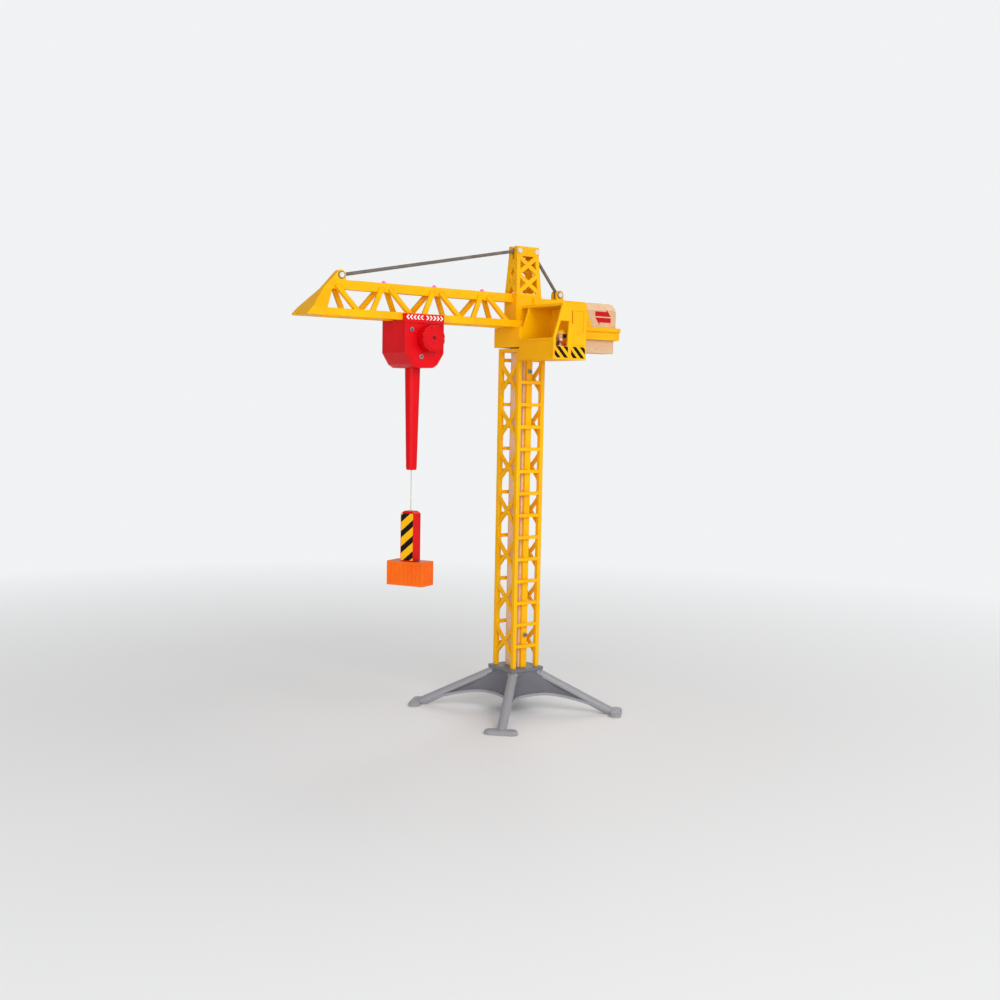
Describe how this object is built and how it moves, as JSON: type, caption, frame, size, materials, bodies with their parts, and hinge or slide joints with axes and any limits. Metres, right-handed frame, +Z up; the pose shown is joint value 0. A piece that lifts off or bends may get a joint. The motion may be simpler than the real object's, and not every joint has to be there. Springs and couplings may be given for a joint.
{
  "type": "toy tower crane",
  "caption": "Toy tower crane with splayed base, lattice mast on a wooden core, turning head with cab, lit jib, sliding counterweight and a trolley with a magnet hoist.",
  "frame": {"origin": "on the floor, below the middle of the crane's length; the mast axis is at X = +77.25 mm", "axes": "+Z up along the mast; the jib points along -X and the counterweight along +X; the cab hangs on the -Y side"},
  "size_m": [0.4354, 0.203, 0.55],
  "materials": {
    "yellow_plastic": "satin injection-moulded ABS",
    "grey_plastic": "satin injection-moulded ABS",
    "red_plastic": "satin injection-moulded ABS",
    "beech_wood": "sanded beech, clear matt lacquer",
    "screw_steel": "zinc-plated",
    "rod_grey": "grey-brown enamel",
    "pin_white": "satin",
    "lamp_red": "clear tinted dome",
    "wire_red": "PVC insulation",
    "dark_plastic": "fine spark texture",
    "cell_steel": "nickel-plated can",
    "drum_white": "satin acetal",
    "cord_white": "braided polyester",
    "magnet_nickel": "nickel-plated",
    "load_orange": "satin injection-moulded ABS",
    "plate_steel": "zinc-plated sheet",
    "jacket_orange": "satin",
    "skin_pink": "satin",
    "helmet_yellow": "gloss",
    "ear_black": "satin"
  },
  "bodies": {
    "base": {"base_frame": "grey_plastic", "base_deck": "grey_plastic", "base_screws": "screw_steel", "mast_left_panel": "yellow_plastic", "mast_right_panel": "yellow_plastic", "mast_front_ladder": "yellow_plastic", "mast_rear_ladder": "yellow_plastic", "mast_core": "beech_wood", "mast_screws": "screw_steel", "mast_cap": "yellow_plastic", "slew_spindle": "grey_plastic", "slew_washer": "screw_steel", "slew_screw": "screw_steel"},
    "head": {"head_housing": "yellow_plastic", "head_deck": "yellow_plastic", "tower_base": "yellow_plastic", "tower_top": "yellow_plastic", "tie_pins": "pin_white", "front_tie_rod": "rod_grey", "rear_tie_rod": "rod_grey", "cab_shell": "yellow_plastic", "cab_side": "yellow_plastic", "cab_roof": "yellow_plastic", "driver_body": "jacket_orange", "driver_arms": "jacket_orange", "driver_head": "skin_pink", "driver_helmet": "helmet_yellow", "driver_ear_defenders": "ear_black", "jib_top_chord": "yellow_plastic", "jib_near_truss": "yellow_plastic", "jib_far_truss": "yellow_plastic", "jib_nose": "yellow_plastic", "jib_lights": "lamp_red", "light_wires": "wire_red", "counter_jib_near": "yellow_plastic", "counter_jib_far": "yellow_plastic", "counter_jib_bridge": "yellow_plastic", "rail_end_stop": "yellow_plastic", "battery_box": "dark_plastic", "battery_cells": "cell_steel", "battery_cover": "yellow_plastic", "battery_screw": "screw_steel"},
    "switch": {"light_switch": "dark_plastic"},
    "counterweight": {"counterweight": "beech_wood"},
    "trolley": {"trolley_front": "red_plastic", "trolley_rear": "red_plastic", "trolley_runner": "red_plastic", "trolley_screws": "screw_steel", "hoist_tube": "red_plastic", "hoist_cord": "cord_white"},
    "winch": {"winch_knob": "red_plastic", "winch_drum": "drum_white", "winch_screw": "screw_steel", "winch_winding": "cord_white"},
    "hook": {"magnet_casing": "red_plastic", "magnet": "magnet_nickel"},
    "load": {"load_shell": "load_orange", "load_plate": "plate_steel"}
  },
  "joints": [
    {"name": "slew", "type": "hinge", "parent": "base", "child": "head", "pos_m": [0.07725, 0, 0.433], "axis": [0, 0, 1], "continuous": true},
    {"name": "trolley_travel", "type": "slide", "parent": "head", "child": "trolley", "axis": [1, 0, 0], "range_m": [-0.095, 0.102]},
    {"name": "hoist", "type": "slide", "parent": "trolley", "child": "hook", "axis": [0, 0, 1], "range_m": [-0.16, 0.044], "deforming": ["hoist_cord"]},
    {"name": "winch_turn", "type": "hinge", "parent": "trolley", "child": "winch", "pos_m": [-0.07075, 0, 0.437], "axis": [0, 1, 0], "range_deg": [-1667.3, 458.9]},
    {"name": "load_release", "type": "slide", "parent": "hook", "child": "load", "axis": [0, 0, -1], "range_m": [0, 0.03]},
    {"name": "counterweight_slide", "type": "slide", "parent": "head", "child": "counterweight", "axis": [1, 0, 0], "range_m": [-0.01, 0]},
    {"name": "light_switch_slide", "type": "slide", "parent": "head", "child": "switch", "axis": [1, 0, 0], "range_m": [0, 0.004]}
  ],
  "couplings": [
    {"joint": "winch_turn", "follows": "hoist", "rad_per_m": 181.82}
  ]
}
